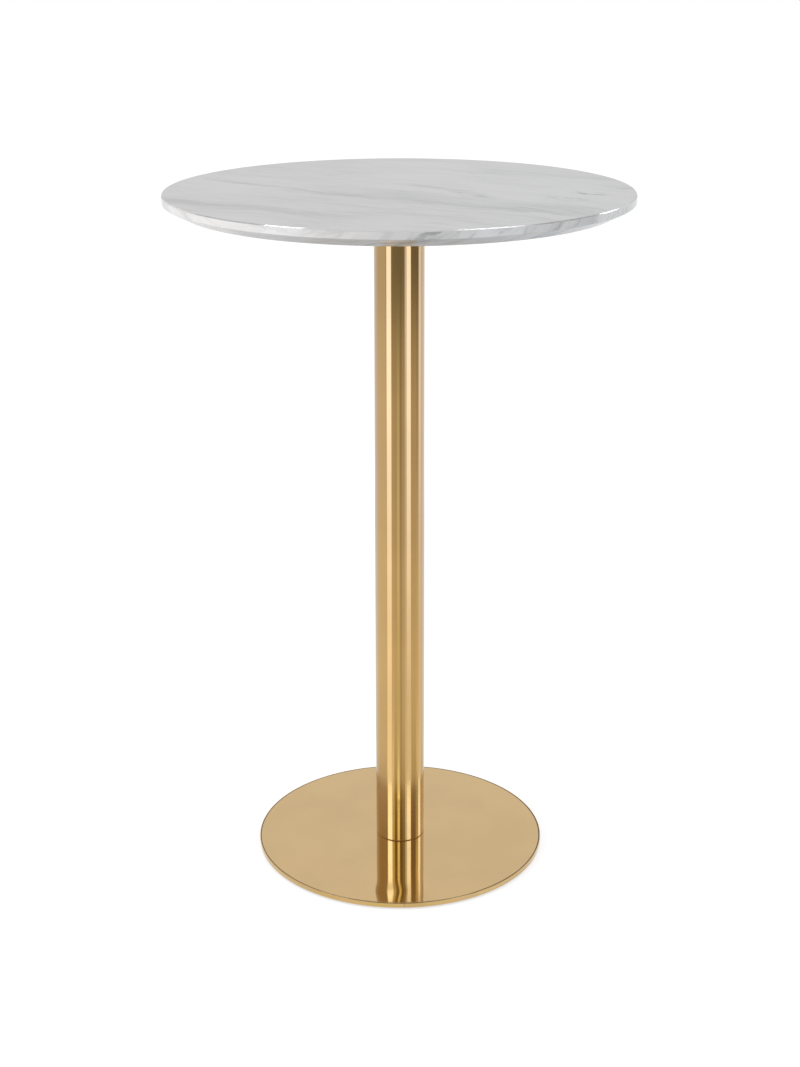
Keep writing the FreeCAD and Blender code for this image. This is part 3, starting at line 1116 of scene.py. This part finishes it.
def zoneColours(tree, zones, azimuth, place, span):
    # one colour ramp for each zone, laid over each other in turn
    tone = None
    for start, end, soft, stops in zones:
        shades = [(at / span, shade) for at, shade in stops]
        colour = addNode(tree, "ShaderNodeValToRGB", {"stops": shades}, place / span)
        if tone:
            shown = inZone(tree, azimuth, (start - soft, start + soft), (end - soft, end + soft))
            colour = blend(tree, shown, tone, colour)
        tone = colour
    return tone


def roundPlace(tree):
    # radius, azimuth from the front and height of the spot looked at
    x, y, z = axesOf(tree, placeOn(tree))
    return fromMiddle(x, y), x.maths("ARCTAN2", x, 0 - y) * math.degrees(1), z


def tinted(levels, tints):
    # each place's brightness turned into a colour
    return [(place, tuple(level * part for part in tintAt(place, tints))) for place, level in levels]


def makePaper(shape, tones):
    # paper round the table, first along the floor and then upright
    lift, reach, head = shape["lift"], shape["reach"], shape["head"]
    outline = [(shape["inner"], lift), (reach, lift), (reach, head)]
    paper = spinPiece("studioPaper", outline, shape["steps"], closed=False)
    material, tree = newMaterial("studio paper")
    radius, azimuth, height = roundPlace(tree)
    zones = [(start, end, soft, tinted(levels, paperTints[tint]))
             for start, end, soft, tint, levels in tones.values()]
    tone = zoneColours(tree, zones, azimuth, radius + height, reach + head)
    dressed(tree, addNode(tree, "ShaderNodeEmission", None, tone, 1.0), paper, material)
    onlyReflected(paper)


def makeCanopy(shape, tones):
    # flat ring that shines down, and only into second reflections: those of column and base disc in each other
    outline = [(shape["inner"], shape["height"]), (shape["outer"], shape["height"])]
    canopy = spinPiece("footCanopy", outline, shape["steps"], closed=False)
    if canopy.data.polygons[0].normal.z > 0:
        enter("EDIT")
        selectAll()
        bpy.ops.mesh.flip_normals()
        enter("OBJECT")
    material, tree = newMaterial("foot canopy")
    radius, azimuth = roundPlace(tree)[:2]
    tone = zoneColours(tree, tones.values(), azimuth, radius, shape["span"])
    glow = addNode(tree, "ShaderNodeEmission", None, tone, 1.0)
    bounces = addNode(tree, "ShaderNodeLightPath", output="Glossy Depth")
    second = bounces.maths("GREATER_THAN", bounces, shape["bounces"])
    shown = inZone(tree, azimuth, *shape["ends"]) * (1 - isBackface(tree)) * second
    clear = addNode(tree, "ShaderNodeBsdfTransparent")
    dressed(tree, addNode(tree, "ShaderNodeMixShader", None, shown, clear, glow), canopy, material)
    onlyReflected(canopy)


cameraSet = {
    "place": (0.0009, -2.67594, 1.458249),
    "pitch": 13.5549,  # degrees below level
    "roll": -0.0791,
    "lens": 61.504,  # mm
    "longSide": 36,  # mm of film
    "shiftY": -0.17615,
}
arrisLamps = {
    # degrees round the rim where the bright line starts and ends; distance, height and brightness of the lamp;
    # degrees its grid lets through, so that little else sees it
    "leftArrisLamp": (-30.6, -20.9, 0.30, 0.04, 0.66, 32),
    "middleArrisLamp": (12.2, 28.0, 0.30, 0.04, 0.52, 32),
    "rightArrisLamp": (51.0, 60.0, 0.12, 0.016, 0.107, 16),
}


def makeArrisLamp(name, start, end, distance, tall, bright, grid):
    # gridded lamp whose mirror image in the chamfer reaches from start to end as the camera sees it
    rim, ends = [], []
    inset = slabShape["chamfer"] / 2
    for angle in (start, end):
        point = facing(angle, slabShape["radius"] - inset, marbleLook["level"] - inset)
        normal = facing(angle, 1, 1).normalized()
        seen = (Vector(cameraSet["place"]) - point).normalized()
        rim.append(point)
        ends.append(point + (2 * normal.dot(seen) * normal - seen) * distance)
    middle = (ends[0] + ends[1]) / 2
    away = (middle - (rim[0] + rim[1]) / 2).normalized()
    chord = ends[1] - ends[0]
    chord = chord - away * chord.dot(away)
    sideways = chord.normalized()
    box = makeLamp(name, chord.length, tall, bright)
    box.data.spread = math.radians(grid)
    turn = Matrix((sideways, away.cross(sideways), away)).transposed()
    box.matrix_world = Matrix.Translation(middle) @ turn.to_4x4()
    box.visible_diffuse = False


backCard = {
    "distance": 1.40,
    "wide": 3.4,
    "low": 1.06,
    "high": 2.10,
    "levels": ((1.06, 0.56), (1.21, 0.54), (1.36, 0.46), (1.60, 0.60), (2.05, 0.95)),  # height, brightness
    "fade": (0.70, 1.60),  # m from the middle where it fades into the paper beside it
    "beside": 0.95,
}


def makeBackCard(look):
    # card behind the table that shows only in the polished stone
    freshStart()
    bpy.ops.mesh.primitive_plane_add(size=1, location=(0, 0, 0))
    card = nameIt("backCard")
    card.scale = (look["wide"], look["high"] - look["low"], 1)
    card.rotation_euler = (math.radians(90), 0, 0)
    card.location = (0, look["distance"], (look["low"] + look["high"]) / 2)
    bpy.ops.object.transform_apply(location=True, rotation=True, scale=True)
    material, tree = newMaterial("back card")
    x, z = axesOf(tree, placeOn(tree))[::2]
    span = look["high"] - look["low"]
    stops = [((height - look["low"]) / span, (level,) * 3) for height, level in look["levels"]]
    tone = addNode(tree, "ShaderNodeValToRGB", {"stops": stops}, (z - look["low"]) / span)
    beside = ramp(tree, x.maths("ABSOLUTE", x), *look["fade"])
    tone = blend(tree, beside, tone, (look["beside"],) * 3)
    dressed(tree, addNode(tree, "ShaderNodeEmission", None, tone, 1.0), card, material)
    onlyReflected(card)


def makeCamera(look):
    data = bpy.data.cameras.new("camera")
    data.sensor_width = look["longSide"]
    data.lens = look["lens"]
    data.shift_y = look["shiftY"]
    camera = bpy.data.objects.new("camera", data)
    bpy.context.scene.collection.objects.link(camera)
    tilt = Matrix.Rotation(math.radians(90 - look["pitch"]), 4, "X")
    roll = Matrix.Rotation(math.radians(look["roll"]), 4, "Z")
    camera.matrix_world = Matrix.Translation(look["place"]) @ tilt @ roll
    bpy.context.scene.camera = camera


makeFloor(stageSet)
makeWorld(stageSet)
for name, values in softboxes.items():
    makeSoftbox(name, *values)
makeTopBox(topBox)
makePaper(paperShape, paperTones)
makeCanopy(canopyShape, canopyTones)
for name, values in arrisLamps.items():
    makeArrisLamp(name, *values)
makeBackCard(backCard)
makeCamera(cameraSet)
bpy.context.scene.view_settings.view_transform = "Standard"
print("stage, light and camera set")
